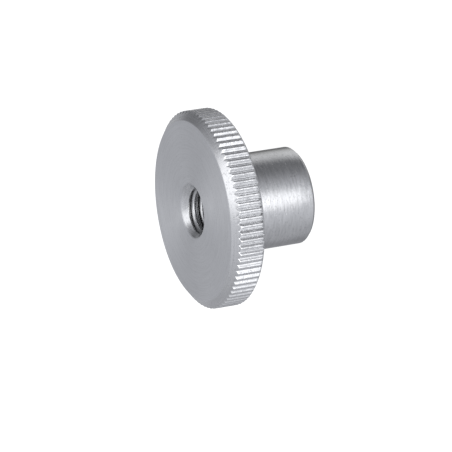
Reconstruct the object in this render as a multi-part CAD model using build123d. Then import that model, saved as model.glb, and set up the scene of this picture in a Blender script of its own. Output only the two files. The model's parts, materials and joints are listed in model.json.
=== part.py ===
from build123d import *
from math import pi, radians, tan
import os

# Knurled thumb nut with a tall hub, turned from one piece of round bar.
# It stands on the flat end of its hub. The origin is the centre of that end,
# and +Z runs along the screw hole towards the face of the knurled disc.
# All sizes are in millimetres and all angles in degrees.

# The disc that the fingers turn
crest_diameter = 16.0
disc_thickness = 2.7
front_bevel_width = 0.7
front_bevel_depth = 0.55
back_bevel_width = 0.3
back_bevel_depth = 0.25

# The straight knurl on its rim: shallow V grooves between flat crests
knurl_pitch = 0.6
groove_depth = 0.18
groove_angle = 96.0

# The hub and its seat
overall_height = 9.1
hub_diameter = 7.9
hub_end_bevel = 0.25
root_fillet = 0.35

# The hole for an M4 screw: the bore is the wall that the thread is cut into
bore_diameter = 3.3
front_countersink_diameter = 4.48
end_countersink_diameter = 4.4
countersink_angle = 90.0

# How far the cutter of a groove starts outside the crests
cutter_overrun = 0.05

crest_radius = crest_diameter / 2
hub_radius = hub_diameter / 2
bore_radius = bore_diameter / 2
disc_back = overall_height - disc_thickness


def countersink_depth(mouth_diameter):
    """Depth at which a countersink of this mouth meets the bore."""
    return (mouth_diameter - bore_diameter) / 2 / tan(radians(countersink_angle / 2))


def blank():
    """The turned blank: one half section, swept round the axis."""
    end_mouth = end_countersink_diameter / 2
    front_mouth = front_countersink_diameter / 2
    root = (hub_radius, disc_back)
    corners = [
        (end_mouth, 0),
        (hub_radius - hub_end_bevel, 0),
        (hub_radius, hub_end_bevel),
        root,
        (crest_radius - back_bevel_width, disc_back),
        (crest_radius, disc_back + back_bevel_depth),
        (crest_radius, overall_height - front_bevel_depth),
        (crest_radius - front_bevel_width, overall_height),
        (front_mouth, overall_height),
        (bore_radius, overall_height - countersink_depth(front_countersink_diameter)),
        (bore_radius, countersink_depth(end_countersink_diameter)),
    ]
    section = make_face(Polyline(*corners, close=True))
    inner_corner = section.vertices().sort_by_distance(Vector(*root))[0]
    section = fillet(inner_corner, root_fillet)
    return revolve(Plane.XZ * section, Axis.Z)


def groove():
    """The triangle that one groove takes out of the rim, at angle zero."""
    reach = groove_depth + cutter_overrun
    half_width = reach * tan(radians(groove_angle / 2))
    floor = crest_radius - groove_depth
    outside = crest_radius + cutter_overrun
    return make_face(Polyline((floor, 0), (outside, half_width), (outside, -half_width), close=True))


def knurl():
    """All the grooves, along the axis and through both bevels, with a crest on the X axis."""
    count = round(pi * crest_diameter / knurl_pitch)
    turn = 360 / count
    triangles = [Rot(0, 0, turn * (i + 0.5)) * groove() for i in range(count)]
    return [extrude(Pos(0, 0, disc_back) * t, disc_thickness) for t in triangles]


def thumb_nut():
    """The finished nut as one solid."""
    return blank() - knurl()


os.makedirs("parts", exist_ok=True)
export_step(thumb_nut(), "parts/thumb_nut.step")
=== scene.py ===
import json
import math

import bpy
import numpy as np
from mathutils import Matrix, Vector


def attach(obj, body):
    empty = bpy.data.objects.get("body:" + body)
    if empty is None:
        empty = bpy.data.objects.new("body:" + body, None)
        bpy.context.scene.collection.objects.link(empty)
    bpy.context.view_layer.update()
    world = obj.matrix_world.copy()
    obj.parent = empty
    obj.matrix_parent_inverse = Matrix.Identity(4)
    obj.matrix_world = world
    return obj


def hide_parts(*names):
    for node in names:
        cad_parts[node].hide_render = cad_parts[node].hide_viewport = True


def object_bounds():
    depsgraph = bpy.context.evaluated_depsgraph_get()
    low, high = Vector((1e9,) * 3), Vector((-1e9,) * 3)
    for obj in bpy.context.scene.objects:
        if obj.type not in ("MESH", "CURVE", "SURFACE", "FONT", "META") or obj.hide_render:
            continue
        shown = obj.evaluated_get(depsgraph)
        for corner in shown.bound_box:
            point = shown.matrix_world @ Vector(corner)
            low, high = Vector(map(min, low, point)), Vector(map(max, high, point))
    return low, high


# A knurled thumb nut of turned stainless steel, standing on the end of its hub.
# Lengths in the dictionaries are millimetres and angles are degrees, unless a note says otherwise.

mm = 0.001

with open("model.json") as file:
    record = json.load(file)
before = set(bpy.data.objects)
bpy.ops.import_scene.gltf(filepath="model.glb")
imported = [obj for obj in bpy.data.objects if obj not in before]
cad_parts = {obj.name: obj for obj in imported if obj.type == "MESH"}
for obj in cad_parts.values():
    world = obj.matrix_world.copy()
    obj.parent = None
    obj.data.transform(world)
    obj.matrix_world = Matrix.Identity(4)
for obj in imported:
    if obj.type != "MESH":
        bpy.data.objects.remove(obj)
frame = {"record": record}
cadLow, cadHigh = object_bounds()
threadMount = next(m for m in frame["record"]["mounts"] if m["name"] == "thread")
print("Frame loaded")


# Profiles: points (radius, height), one column of points for each angle round the nut

def bendCorner(before, corner, after, size, steps):
    # a corner becomes a short curve: (1-t)^2 of the start + 2t(1-t) of the corner + t^2 of the end

    def toward(other):
        side = other - corner
        return corner + side * size / np.linalg.norm(side, axis=-1, keepdims=True)

    start, end = toward(before), toward(after)
    t = np.linspace(0, 1, steps)[:, None, None]
    return (1 - t) ** 2 * start + 2 * t * (1 - t) * corner + t ** 2 * end


def traceProfile(stations, columns):
    # stations: (radius, height, corner size, rows in the corner, rows on the way to the next corner)
    points = [np.stack(np.broadcast_arrays(s[0], s[1], np.zeros(columns))[:2], -1) for s in stations]
    blocks = []
    for i, (_, _, size, steps, _) in enumerate(stations):
        if size:
            blocks.append(bendCorner(points[i - 1], points[i], points[i + 1], size, steps))
        else:
            blocks.append(points[i][None])
    rows = []
    for i, block in enumerate(blocks):
        rows.append(block)
        between = stations[i][4]
        if between:
            t = np.linspace(0, 1, between + 2)[1:-1, None, None]
            rows.append((1 - t) * block[-1] + t * blocks[i + 1][0])
    return np.concatenate(rows)


def turnRound(rows, angles):
    # (radius, height) at each angle becomes x, y, z
    radius, height = rows[..., 0], rows[..., 1]
    return np.stack([radius * np.cos(angles), radius * np.sin(angles), height], -1)


def closeRing(index):
    # the first column once more after the last
    return np.concatenate([index, index[:, :1]], 1)


def joinRows(index):
    # four-sided faces between each row and the next, the last column meeting the first
    low, high = index[:-1], index[1:]
    faces = np.stack([low[:, :-1], high[:, :-1], high[:, 1:], low[:, 1:]], -1)
    return faces.reshape(-1, 4)


# The nut: one closed surface that follows the CAD solid, with its thread cut

nutValues = {
    "discThickness": 2.7,
    "frontBevel": (0.7, 0.55),          # across the face, along the axis
    "backBevel": (0.3, 0.25),
    "hubDiameter": 7.9,
    "hubEndBevel": 0.25,
    "rootFillet": 0.35,
    "frontMouth": 4.48,                 # across the countersinks
    "endMouth": 4.4,
    "teeth": 84,
    "grooveDepth": 0.18,
    "grooveAngle": 96,
    "grooveFloor": 0.02,                # how round the bottom of a groove is
    "grooveSteps": (0, 0.08, 0.22, 0.55, 0.84, 0.96, 1.08, 1.25),   # in half widths of a groove
    "edgeSoftness": 0.010,
    "crestCrown": 0.004,                # the middle of a crest stands higher than its two edges
    "toothWander": 0.004,
    "wanderPasses": 4,                  # how often the wander is smoothed
    "wanderStart": 0.3,                 # share of the front bevel's depth above which nothing wanders
    "rimRows": 16,                      # rows of points along the rim, between its two edges
    "threadPitch": 0.7,
    "threadRoot": 4.0,                  # across the grooves of the thread
    "threadCrest": 0.07,                # half the width of its flat crest, as a share of the pitch
    "threadSteps": (0, 0.06, 0.11, 0.16, 0.21, 0.26, 0.32, 0.38, 0.44, 0.5),   # shares of the pitch
    "threadTurn": 0.23,                 # where the thread starts, in turns
    "ringGap": 0.15,                    # share of a thread row that stays clear of a ring of points
    "edgeBreak": 0.05,                  # how round the edges of the back and the hub are
    "faceBreak": 0.07,                  # the same for the edge of the face,
    "rimBreak": 0.04,                   # for the two edges of the rim
    "mouthBreak": 0.10,                 # and for the two mouths of the hole
    "coarse": 8,                        # fine columns to one coarse column
    "seam": (5.0, 4.9),                 # where fine and coarse columns end on the two flat faces
    "knurlReach": 1.5,                  # how deep the knurl's finish goes, in groove depths
    "knurlStart": 0.9,                  # share of the back bevel's depth where the knurl's finish begins
    "bevelSlack": 0.02,                 # how far from the front bevel's slope a face still has its finish
    "sinkSlack": 0.006,                 # the same for the countersinks
    "shadingWeight": 100,               # how much more a large face counts in the smooth shading
    "seed": 5,
}


def mirrorSteps(half):
    # shares of a pitch from 0 to 0.5, carried on to 1 the same way
    half = np.array(half)
    middle = [] if half[-1] == 0.5 else [0.5]
    tail = half[-2:0:-1] if half[-1] == 0.5 else half[:0:-1]
    return np.concatenate([half, middle, 1 - tail])


def grooveShares(crest, values):
    # half a groove's width as a share of the pitch, and the places of the columns over one pitch
    pitch = 2 * math.pi * crest / values["teeth"]
    half = values["grooveDepth"] * math.tan(math.radians(values["grooveAngle"] / 2)) / pitch
    return half, mirrorSteps(half * np.array(values["grooveSteps"]))


def rimRadius(share, crest, values):
    # a V groove: the depth falls off as the root of (slope * way across)^2 + floor^2, with a soft edge,
    # and then comes a crest that rises to its middle as 1 - (1 - way in)^2
    half, _ = grooveShares(crest, values)
    across = np.minimum(share, 1 - share)
    soft, floor, depth = values["edgeSoftness"], values["grooveFloor"], values["grooveDepth"]
    rise = np.sqrt((depth * across / half) ** 2 + floor ** 2) - floor
    groove = soft * np.logaddexp(0, (depth - rise) / soft)
    inward = np.clip((across - half) / (0.5 - half), 0, 1)
    return crest - groove - values["crestCrown"] * (1 - inward) ** 2


def smoothNoise(rng, shape, passes):
    # random values averaged with their neighbours along the first axis
    noise = rng.standard_normal(shape)
    for _ in range(passes):
        padded = np.concatenate([noise[:1], noise, noise[-1:]])
        noise = (padded[:-2] + 2 * noise + padded[2:]) / 4
    return noise / noise.std()


def outerRows(values, crest, height, angles, share):
    # from the disc's face over the front bevel, the rim and the back bevel to the disc's back
    back = height - values["discThickness"]
    rim = rimRadius(share, crest, values)
    wide, deep = values["frontBevel"]
    backWide, backDeep = values["backBevel"]
    faceEdge, backEdge = crest - wide, crest - backWide
    rimTop = height - deep * (rim - faceEdge) / wide
    rimEnd = back + backDeep * (rim - backEdge) / backWide
    rows = traceProfile([
        (values["seam"][0], height, 0, 1, 2),
        (faceEdge, height, values["faceBreak"], 5, 2),
        (rim, rimTop, values["rimBreak"], 4, values["rimRows"]),
        (rim, rimEnd, values["rimBreak"], 4, 1),
        (backEdge, back, values["edgeBreak"], 4, 1),
        (values["seam"][0], back, 0, 1, 0),
    ], len(angles))
    # the knurl is a little uneven along the rim: each half of each tooth sinks by its own smooth wander
    rng = np.random.default_rng(values["seed"])
    steps = len(share) // values["teeth"]
    wander = smoothNoise(rng, (len(rows), values["teeth"] * 2), values["wanderPasses"])
    wander = np.repeat(wander, steps // 2, 1)
    outside = rows[..., 0] > backEdge + values["edgeBreak"]
    below = rows[..., 1] < height - values["wanderStart"] * deep
    rows[..., 0] -= values["toothWander"] * np.abs(wander) * (outside & below)
    return rows


def threadRadius(share, crest, root, values):
    # a flat crest, then a quarter of a cosine wave that falls ever steeper to a sharp groove
    distance = np.minimum(share, 1 - share)
    ramp = np.clip((distance - values["threadCrest"]) / (0.5 - values["threadCrest"]), 0, 1)
    return crest + (root - crest) * (1 - np.cos(math.pi / 2 * ramp))


def boreGrid(values, bore, low, high, mouths, columns, firstIndex, lowRing, highRing):
    # rows follow the helix, height = low + pitch * (turns + share + angle / full turn), and are cut off
    # at both rings; radius = the largest of the thread's and those of the two 45 degree countersinks
    pitch, shares = values["threadPitch"], mirrorSteps(values["threadSteps"])
    perTurn = len(shares)
    turns = int(math.ceil((high - low) / pitch)) + 3
    share = np.tile(shares, turns)
    along = np.repeat(np.arange(turns), perTurn) + share - 2 + values["threadTurn"]
    angle = np.linspace(0, 2 * math.pi, columns + 1)
    height = low + pitch * (along[:, None] + angle / (2 * math.pi))
    gap = values["ringGap"] * pitch / perTurn
    under, over = height < low + gap, height > high - gap
    thread = threadRadius(share, bore, values["threadRoot"] / 2, values)[:, None]
    cones = np.maximum(mouths[0] - height, mouths[1] - (values["height"] - height))
    radius = np.maximum(thread, cones)
    rows = np.stack([radius, height], -1)[:, :-1]
    index = firstIndex + np.arange(height[:, :-1].size).reshape(height[:, :-1].shape)
    index = np.where(under[:, :-1], lowRing, np.where(over[:, :-1], highRing, index))
    # after a whole way round, a row goes on as the row that lies one turn further up
    after = np.concatenate([index[perTurn:, 0], np.full(perTurn, highRing[0])])
    index = np.concatenate([index, after[:, None]], 1)
    faces = joinRows(index)
    # a face with two equal corners is a triangle, and one with two such pairs is left out
    a, b, c, d = faces.T
    quads = faces[(a != b) & (c != d)]
    triangles = np.concatenate([
        faces[(a == b) & (c != d)][:, [0, 2, 3]],
        faces[(a != b) & (c == d)][:, :3],
    ])
    return turnRound(rows, angle[:-1]).reshape(-1, 3), quads, triangles


def buildMesh(name, points, quads, triangles, finishes):
    # finishes: one material number for each face, quads first
    used, order = np.unique(np.concatenate([quads.ravel(), triangles.ravel()]), return_inverse=True)
    mesh = bpy.data.meshes.new(name)
    mesh.vertices.add(len(used))
    mesh.vertices.foreach_set("co", (points[used] * mm).astype(np.float32).ravel())
    mesh.loops.add(len(order))
    mesh.loops.foreach_set("vertex_index", order.astype(np.int32))
    sides = np.concatenate([np.full(len(quads), 4), np.full(len(triangles), 3)])
    starts = np.concatenate([[0], np.cumsum(sides)[:-1]])
    mesh.polygons.add(len(sides))
    mesh.polygons.foreach_set("loop_start", starts.astype(np.int32))
    mesh.polygons.foreach_set("material_index", finishes.astype(np.int32))
    mesh.update(calc_edges=True)
    mesh.validate()
    mesh.shade_smooth()
    return mesh


def makeNut(values):
    crest, height = cadHigh.y / mm, cadHigh.z / mm
    values = {**values, "height": height}
    back = height - values["discThickness"]
    size, hub = values["edgeBreak"], values["hubDiameter"] / 2
    bore = threadMount["dims"]["r_mm"]
    mouths = values["endMouth"] / 2, values["frontMouth"] / 2
    seam = values["seam"][1]

    # fine columns round the disc, starting at the middle of a crest
    _, steps = grooveShares(crest, values)
    steps = np.concatenate([steps[steps >= 0.5], steps[steps < 0.5]])
    share = np.tile(steps, values["teeth"])
    tooth = np.repeat(np.arange(values["teeth"]), len(steps))
    fine = (tooth + (share - 0.5) % 1) * 2 * math.pi / values["teeth"]
    outer = turnRound(outerRows(values, crest, height, fine, share), fine)

    # coarse columns round the hub and inside the hole
    columns = len(fine) // values["coarse"]
    coarse = np.linspace(0, 2 * math.pi, columns, endpoint=False)
    edge = values["mouthBreak"]
    lean = edge * math.sqrt(0.5)
    hubRows = traceProfile([
        (seam, back, 0, 1, 0),
        (hub, back, values["rootFillet"], 7, 3),
        (hub, values["hubEndBevel"], size, 4, 0),
        (hub - values["hubEndBevel"], 0, size, 4, 1),
        (mouths[0], 0, edge, 4, 0),
        (mouths[0] - 2 * lean, 2 * lean, 0, 1, 0),
    ], columns)[:-1]
    faceRows = traceProfile([
        (mouths[1] - 2 * lean, height - 2 * lean, 0, 1, 0),
        (mouths[1], height, edge, 4, 2),
        (seam, height, 0, 1, 0),
    ], columns)[1:]

    def number(rows, first):
        return first + np.arange(rows.shape[0] * rows.shape[1]).reshape(rows.shape[:2])

    outerIndex = number(outer, 0)
    hubIndex = number(hubRows, outerIndex.size)
    faceIndex = number(faceRows, outerIndex.size + hubIndex.size)
    first = outerIndex.size + hubIndex.size + faceIndex.size
    rings = hubIndex[-1], faceIndex[0]
    lowest, highest = hubRows[-1, 0, 1], faceRows[0, 0, 1]
    borePoints, boreQuads, boreTriangles = boreGrid(
        values, bore, lowest, highest, mouths, columns, first, *rings)

    # fans on the two flat faces, where several fine columns meet one coarse column
    def seamFaces(ring, inner):
        half = values["coarse"] // 2
        group = ((np.arange(len(ring)) + half) // values["coarse"]) % columns
        wide = np.stack([inner[group], ring, np.roll(ring, -1)], -1)
        narrow = np.stack([inner, ring[half::values["coarse"]], np.roll(inner, -1)], -1)
        return np.concatenate([wide, narrow])

    frontFan = seamFaces(outerIndex[0], faceIndex[-1])
    backFan = seamFaces(outerIndex[-1], hubIndex[0])[:, ::-1]

    points = np.concatenate([
        outer.reshape(-1, 3),
        turnRound(hubRows, coarse).reshape(-1, 3),
        turnRound(faceRows, coarse).reshape(-1, 3),
        borePoints,
    ])
    outerQuads = joinRows(closeRing(outerIndex))
    hubQuads = joinRows(closeRing(hubIndex))
    faceQuads = joinRows(closeRing(faceIndex))
    quads = np.concatenate([outerQuads, hubQuads, faceQuads, boreQuads])
    triangles = np.concatenate([frontFan, backFan, boreTriangles])

    # finish by place: 0 face and back, 1 knurl, 2 hub, 3 thread, 4 front bevel, 5 countersinks,
    # in the order of the steel's finishes below
    def middle(faces):
        centre = points[faces].mean(1)
        return np.hypot(centre[:, 0], centre[:, 1]), centre[:, 2]

    outerRadius, outerHeight = middle(outerQuads)
    rimLow = back + values["backBevel"][1] * values["knurlStart"]
    onRim = (outerRadius > crest - values["knurlReach"] * values["grooveDepth"]) & (outerHeight > rimLow)
    wide, deep = values["frontBevel"]
    slope = height - deep * (outerRadius - crest + wide) / wide
    onRim &= outerHeight < slope - values["bevelSlack"]
    onBevel = (outerRadius > crest - wide) & (outerHeight > back + values["discThickness"] / 2)

    def holeFinish(faces):
        radius, level = middle(faces)
        cone = np.maximum(mouths[0] - level, mouths[1] - (height - level))
        return np.where(radius < cone + values["sinkSlack"], 5, 3)

    finishes = np.concatenate([
        np.where(onRim, 1, np.where(onBevel, 4, 0)),
        np.full(len(hubQuads), 2),
        np.zeros(len(faceQuads)),
        holeFinish(boreQuads),
        np.zeros(len(frontFan) + len(backFan)),
        holeFinish(boreTriangles),
    ])
    mesh = buildMesh("thumbNut", points, quads, triangles, finishes)
    nut = bpy.data.objects.new("thumbNut", mesh)
    bpy.context.scene.collection.objects.link(nut)
    weighted = nut.modifiers.new("evenShading", "WEIGHTED_NORMAL")
    weighted.weight = values["shadingWeight"]
    return nut


nut = makeNut(nutValues)
print("Nut built:", len(nut.data.polygons), "faces")


# Turned and rolled stainless steel

steelValues = {
    "ringDetail": (2.0, 3.0),           # of the broad and the fine rings
    "spotDetail": 3.0,
    "nickWarp": 0.5,
    "nickRange": (0.66, 0.74),          # noise from which a nick begins, and where it is whole
    "roughRange": (0.6, 1.4),           # patches plus fine rings, from smooth to rough
    "stainRange": (0.35, 0.62),         # fine rings, from stained to clean
    "glossTurn": 0.25,                  # a quarter turn: the gloss is stretched across the lathe marks
    "finishes": {
        # rings, grain and nicks: how many to a millimetre, and their depth in millimetres
        # ragged: how much the broad and the fine rings change on the way round
        # patches: how many to a millimetre, and how much they change the roughness
        # stain: the share by which the tool's marks and the nicks are darker
        # crestOnly: between which radii the grain fades in
        # crestRoughness: how much rougher the crests are
        # lengthwise: under 1 it draws the grain out along the axis
        # paintedGrooveShade: painted shade in the thread's grooves, from which radius to which the steel
        # gets darker, and by what share
        "faceSteel": {
            "colour": (0.715, 0.722, 0.735), "roughness": 0.36, "anisotropy": 0.80,
            "broadRings": (2.5, 0.0034), "fineRings": (9.0, 0.0010), "ragged": (2.2, 2.2),
            "grain": (4.0, 0.0030), "nicks": (8.0, 0.0015), "patches": (1.2, 0.05), "stain": 0.08,
        },
        "knurlSteel": {
            "colour": (0.815, 0.82, 0.83), "roughness": 0.19, "anisotropy": 0.0,
            "broadRings": (2.0, 0.0010), "fineRings": (8.0, 0.0010), "ragged": (3.0, 3.0),
            "grain": (9.0, 0.015), "nicks": (7.0, 0.0030), "patches": (4.0, 0.08), "stain": 0.06,
            "crestOnly": (7.88, 7.95), "crestRoughness": 0.09, "lengthwise": 0.45,
        },
        "hubSteel": {
            "colour": (0.775, 0.78, 0.79), "roughness": 0.20, "anisotropy": 0.5,
            "broadRings": (2.0, 0.0032), "fineRings": (7.0, 0.0020), "ragged": (1.8, 5.0),
            "grain": (5.0, 0.0030), "nicks": (7.0, 0.0025), "patches": (2.5, 0.06), "stain": 0.12,
        },
        "threadSteel": {
            "colour": (0.76, 0.765, 0.775), "roughness": 0.27, "anisotropy": 0.0,
            "broadRings": (3.0, 0.0010), "fineRings": (10.0, 0.0005), "ragged": (3.0, 3.0),
            "grain": (6.0, 0.0020), "nicks": (8.0, 0.0015), "patches": (2.0, 0.06), "stain": 0.10,
            # painted shade: the thread's steel gets darker deep in its grooves
            "paintedGrooveShade": (1.66, 1.82, 0.50),
        },
        "bevelSteel": {
            "colour": (0.775, 0.78, 0.79), "roughness": 0.24, "anisotropy": 0.3,
            "broadRings": (3.2, 0.0070), "fineRings": (9.0, 0.0020), "ragged": (2.5, 2.5),
            "grain": (6.0, 0.0030), "nicks": (7.0, 0.0030), "patches": (2.5, 0.06), "stain": 0.12,
        },
        "sinkSteel": {
            "colour": (0.76, 0.765, 0.775), "roughness": 0.25, "anisotropy": 0.2,
            "broadRings": (3.0, 0.0015), "fineRings": (10.0, 0.0010), "ragged": (2.5, 2.5),
            "grain": (6.0, 0.0050), "nicks": (8.0, 0.0030), "patches": (3.0, 0.08), "stain": 0.14,
        },
    },
}


def addNode(tree, kind, settings=None, **sockets):
    # sockets go by name, or n0, n1 and so on by number, and take a value or another node's output
    node = tree.nodes.new("ShaderNode" + kind)
    for key, value in (settings or {}).items():
        setattr(node, key, value)
    for key, value in sockets.items():
        slot = node.inputs[int(key[1:])] if key[0] == "n" and key[1:].isdigit() else node.inputs[key]
        if isinstance(value, bpy.types.NodeSocket):
            tree.links.new(value, slot)
        else:
            slot.default_value = value
    return node


def addRamp(tree, value, fromLow, fromHigh, toLow, toHigh, kind="LINEAR"):
    # straight or smooth step from one range to the other
    ramp = addNode(tree, "MapRange", {"interpolation_type": kind}, Value=value)
    ends = {"From Min": fromLow, "From Max": fromHigh, "To Min": toLow, "To Max": toHigh}
    for place, end in ends.items():
        ramp.inputs[place].default_value = end
    return ramp.outputs["Result"]


def makeSteel(name, values):
    values = {**values, **values["finishes"][name]}
    steel = bpy.data.materials.new(name)
    steel.use_nodes = True
    tree = steel.node_tree
    shader = tree.nodes["Principled BSDF"]
    shader.inputs["Metallic"].default_value = 1.0
    shader.inputs["Anisotropic"].default_value = values["anisotropy"]
    shader.inputs["Anisotropic Rotation"].default_value = values["glossTurn"]

    # place in millimetres, the distance from the axis, and the direction round it
    place = addNode(tree, "TexCoord").outputs["Object"]
    scaled = addNode(tree, "VectorMath", {"operation": "SCALE"}, n0=place, Scale=1 / mm)
    scaled = scaled.outputs["Vector"]
    x, y, z = addNode(tree, "SeparateXYZ", None, n0=scaled).outputs
    flat = addNode(tree, "CombineXYZ", None, X=x, Y=y).outputs["Vector"]
    radius = addNode(tree, "VectorMath", {"operation": "LENGTH"}, n0=flat).outputs["Value"]
    outward = addNode(tree, "VectorMath", {"operation": "NORMALIZE"}, n0=flat).outputs["Vector"]
    outX, outY, _ = addNode(tree, "SeparateXYZ", None, n0=outward).outputs
    around = addNode(tree, "VectorMath", {"operation": "CROSS_PRODUCT"}, n0=(0, 0, 1), n1=outward)
    tree.links.new(around.outputs["Vector"], shader.inputs["Tangent"])

    def math2(kind, a, b):
        return addNode(tree, "Math", {"operation": kind}, n0=a, n1=b).outputs["Value"]

    def rings(scale, ragged, detail):
        # lathe rings: noise on radius and height that changes slowly with the direction from the axis
        point = addNode(tree, "CombineXYZ", None, X=math2("MULTIPLY", radius, scale),
                        Y=math2("MULTIPLY", z, scale), Z=math2("MULTIPLY", outX, ragged))
        noise = addNode(tree, "TexNoise", {"noise_dimensions": "4D"}, Vector=point.outputs["Vector"],
                        W=math2("MULTIPLY", outY, ragged), Scale=1.0, Detail=detail)
        return noise.outputs["Fac"]

    def spots(scale, detail, distortion=0.0, along=1.0):
        # noise on the place itself, drawn out along the axis where along is under 1
        point = addNode(tree, "VectorMath", {"operation": "MULTIPLY"}, n0=scaled, n1=(1, 1, along))
        return addNode(tree, "TexNoise", None, Vector=point.outputs["Vector"], Scale=scale,
                       Detail=detail, Distortion=distortion).outputs["Fac"]

    broadDetail, fineDetail = values["ringDetail"]
    detail = values["spotDetail"]
    broad = rings(values["broadRings"][0], values["ragged"][0], broadDetail)
    fine = rings(values["fineRings"][0], values["ragged"][1], fineDetail)
    grain = spots(values["grain"][0], detail, along=values.get("lengthwise", 1.0))
    nicks = spots(values["nicks"][0], 0.0, values["nickWarp"])
    nicks = addRamp(tree, nicks, *values["nickRange"], 0.0, 1.0, "SMOOTHSTEP")
    patches = spots(values["patches"][0], detail)
    if "crestOnly" in values:
        crestShare = addRamp(tree, radius, *values["crestOnly"], 0.0, 1.0, "SMOOTHSTEP")
        grain = math2("MULTIPLY", grain, crestShare)

    # roughness: the finish's own value, moved by the patches and the fine rings
    rough, change = values["roughness"], values["patches"][1]
    mixed = math2("ADD", patches, fine)
    mixed = addRamp(tree, mixed, *values["roughRange"], rough - change, rough + change)
    if "crestOnly" in values:
        mixed = math2("ADD", mixed, math2("MULTIPLY", crestShare, values["crestRoughness"]))
    tree.links.new(mixed, shader.inputs["Roughness"])

    # colour: the steel's own, a little darker in the marks of the tool, and in the thread with painted
    # shade deep in its grooves
    shade = addRamp(tree, fine, *values["stainRange"], 1 - values["stain"], 1.0)
    shade = math2("SUBTRACT", shade, math2("MULTIPLY", nicks, values["stain"]))
    # painted shade: the steel darkens towards the roots of the thread's grooves, where shade falls
    if "paintedGrooveShade" in values:
        start, end, share = values["paintedGrooveShade"]
        shade = math2("MULTIPLY", shade, addRamp(tree, radius, start, end, 1.0, 1 - share, "SMOOTHSTEP"))
    tint = addNode(tree, "VectorMath", {"operation": "SCALE"}, n0=values["colour"], Scale=shade)
    tree.links.new(tint.outputs["Vector"], shader.inputs["Base Color"])

    # relief in millimetres: the sum of each pattern times its depth, less the nicks
    height = math2("MULTIPLY", broad, values["broadRings"][1])
    depths = (fine, values["fineRings"][1]), (grain, values["grain"][1]), (nicks, -values["nicks"][1])
    for pattern, depth in depths:
        height = math2("ADD", height, math2("MULTIPLY", pattern, depth))
    relief = addNode(tree, "Bump", None, Strength=1.0, Distance=mm, Height=height)
    tree.links.new(relief.outputs["Normal"], shader.inputs["Normal"])
    return steel


for steelName in steelValues["finishes"]:
    nut.data.materials.append(makeSteel(steelName, steelValues))
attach(nut, "root")
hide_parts("thumb_nut")
print("Steel applied")


# Stage: a pale floor that sweeps up all round into a wall

stageValues = {
    "middle": 1.0,                      # radius of the one flat face in the middle
    "floorRadius": 500.0,
    "bend": 300.0,
    "wallHeight": 1500.0,
    "bendRows": 16,
    "columns": 96,
    "colour": (0.35, 0.35, 0.35),
    "glow": 0.9,                        # lights the floor evenly, so that it looks pale everywhere
}


def makeStage(values):
    # profile: flat to the floor radius, a quarter circle up, then a straight wall, turned round the axis
    bend = np.linspace(0, math.pi / 2, values["bendRows"])
    flat, curve = values["floorRadius"], values["bend"]
    radius = np.concatenate([[values["middle"]], flat + curve * np.sin(bend), [flat + curve]])
    height = np.concatenate([[0.0], curve * (1 - np.cos(bend)), [values["wallHeight"]]])
    angle = np.linspace(0, 2 * math.pi, values["columns"], endpoint=False)
    rows = np.broadcast_to(np.stack([radius, height], -1)[:, None], (len(radius), len(angle), 2))
    points = turnRound(rows, angle).reshape(-1, 3)
    index = np.arange(len(points)).reshape(len(radius), len(angle))
    faces = joinRows(closeRing(index))
    mesh = bpy.data.meshes.new("floor")
    mesh.from_pydata((points * mm).tolist(), [], faces.tolist() + [index[0].tolist()])
    mesh.shade_smooth()
    floor = bpy.data.objects.new("floor", mesh)
    bpy.context.scene.collection.objects.link(floor)
    paint = bpy.data.materials.new("floorPaint")
    paint.use_nodes = True
    shader = paint.node_tree.nodes["Principled BSDF"]
    shader.inputs["Base Color"].default_value = (*values["colour"], 1)
    shader.inputs["Roughness"].default_value = 1.0
    shader.inputs["Specular IOR Level"].default_value = 0.0
    shader.inputs["Emission Color"].default_value = (1, 1, 1, 1)
    shader.inputs["Emission Strength"].default_value = values["glow"]
    mesh.materials.append(paint)
    floor.visible_glossy = False       # the steel mirrors the studio, not the floor
    floor.visible_diffuse = False
    floor.visible_shadow = False


makeStage(stageValues)
print("Stage set")


# Camera: the axis of the nut points left in the picture, a little down and towards the viewer

cameraValues = {
    "around": 1.71,                     # how far the camera stands round the axis, from the -Y side
    "elevation": 23.68,                 # of the camera above the plane of the disc
    "turn": 9.28,                       # of the axis in the picture, below the level line
    "distance": 250.0,                  # to the centre of the disc's face
    "faceCentre": (192.15, 211.00),     # pixels of a picture 452 wide
    "pixelsPerMm": 12.53,
    "picture": 452,
    "sensor": 36.0,
    "clip": (5.0, 20000.0),
}


def pointCamera(values):
    # the nut's three directions, as the camera sees them: right, up, back
    rise, turn = math.radians(values["elevation"]), math.radians(values["turn"])
    axis = Vector((-math.cos(rise) * math.cos(turn), -math.cos(rise) * math.sin(turn), math.sin(rise)))
    side = (Vector((0, 1, 0)) - axis * axis.y).normalized()
    seen = Matrix((side, axis.cross(side), axis)).transposed()
    half = values["picture"] / 2
    across = (values["faceCentre"][0] - half) / values["pixelsPerMm"]
    down = (values["faceCentre"][1] - half) / values["pixelsPerMm"]
    face = Vector((across, -down, -values["distance"]))
    placed = Matrix.Rotation(math.radians(values["around"]), 3, "Z") @ seen.transposed()
    spot = Vector((0, 0, cadHigh.z / mm)) - placed @ face
    lens = bpy.data.cameras.new("camera")
    lens.sensor_width = values["sensor"]
    lens.lens = values["sensor"] * values["pixelsPerMm"] * values["distance"] / values["picture"]
    lens.clip_start, lens.clip_end = np.array(values["clip"]) * mm
    camera = bpy.data.objects.new("camera", lens)
    bpy.context.scene.collection.objects.link(camera)
    camera.matrix_world = Matrix.Translation(spot * mm) @ placed.to_4x4()
    bpy.context.scene.camera = camera


pointCamera(cameraValues)
print("Camera placed")


# Studio: an even pale surround with large soft round lights in it, each named by where it stands.
# A direction is as bright as the surround plus, for each light, its strength times a smooth step
# that goes from 1 within the inner angle to 0 beyond the outer angle. Less than 0 is a dark cloth,
# which takes light from the surround. The directions turn with the camera, and a little further.

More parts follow.
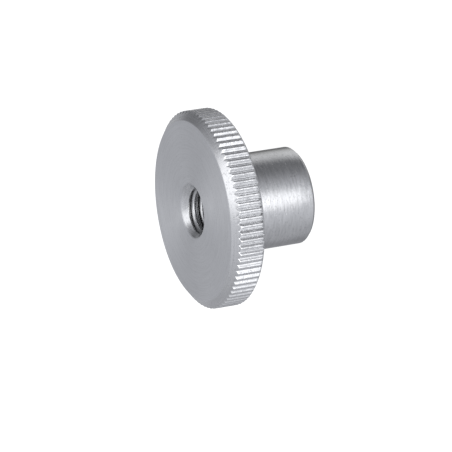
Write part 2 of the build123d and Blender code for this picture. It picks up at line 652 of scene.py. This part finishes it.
studioValues = {
    "surround": 0.64,
    "tint": (0.97, 0.985, 1.04),        # of the surround, where the lights are white
    "turn": 4.5,
    "lights": {
        "overhead": {"toward": (0.26, -0.2, 0.944), "inner": 2, "outer": 29, "strength": 0.79},
        "cameraSide": {"toward": (-0.135, -0.98, 0.155), "inner": 14, "outer": 42, "strength": 1.9},
        "behindLow": {"toward": (0.62, 0.39, -0.68), "inner": 0, "outer": 34, "strength": 0.65},
        "behindTop": {"toward": (0.35, 0.9, -0.2), "inner": 4, "outer": 32, "strength": 0.13},
        "darkCloth": {"toward": (0.93, 0.23, -0.29), "inner": 13, "outer": 95, "strength": -0.48},
        "dimSide": {"toward": (-0.83, 0.55, -0.09), "inner": 2, "outer": 82, "strength": -0.22},
        "dimAbove": {"toward": (0.57, 0.75, 0.38), "inner": 2, "outer": 26, "strength": -0.09},
        "dimBelow": {"toward": (-0.33, 0.6, -0.73), "inner": 7, "outer": 40, "strength": -0.2},
        "dimEdge": {"toward": (0.3, 0.74, -0.6), "inner": 10, "outer": 31, "strength": -0.25},
    },
}


def makeStudio(values):
    world = bpy.data.worlds.new("studio")
    world.use_nodes = True
    tree = world.node_tree
    toward = addNode(tree, "TexCoord").outputs["Generated"]
    turned = Matrix.Rotation(math.radians(cameraValues["around"] + values["turn"]), 3, "Z")
    pale, white = values["surround"], 0.0
    for light in values["lights"].values():
        middle = turned @ Vector(light["toward"]).normalized()
        facing = addNode(tree, "VectorMath", {"operation": "DOT_PRODUCT"}, n0=toward, n1=middle)
        edge, full = math.cos(math.radians(light["outer"])), math.cos(math.radians(light["inner"]))
        fall = addRamp(tree, facing.outputs["Value"], edge, full, 0, light["strength"], "SMOOTHSTEP")
        if light["strength"] < 0:
            pale = addNode(tree, "Math", {"operation": "ADD"}, n0=pale, n1=fall).outputs["Value"]
        else:
            white = addNode(tree, "Math", {"operation": "ADD"}, n0=white, n1=fall).outputs["Value"]
    colour = addNode(tree, "VectorMath", {"operation": "MULTIPLY_ADD"},
                     n0=pale, n1=values["tint"], n2=white)
    tree.links.new(colour.outputs["Vector"], tree.nodes["Background"].inputs["Color"])
    return world


bpy.context.scene.world = makeStudio(studioValues)
bpy.context.scene.view_settings.view_transform = "Standard"
print("Lights set")
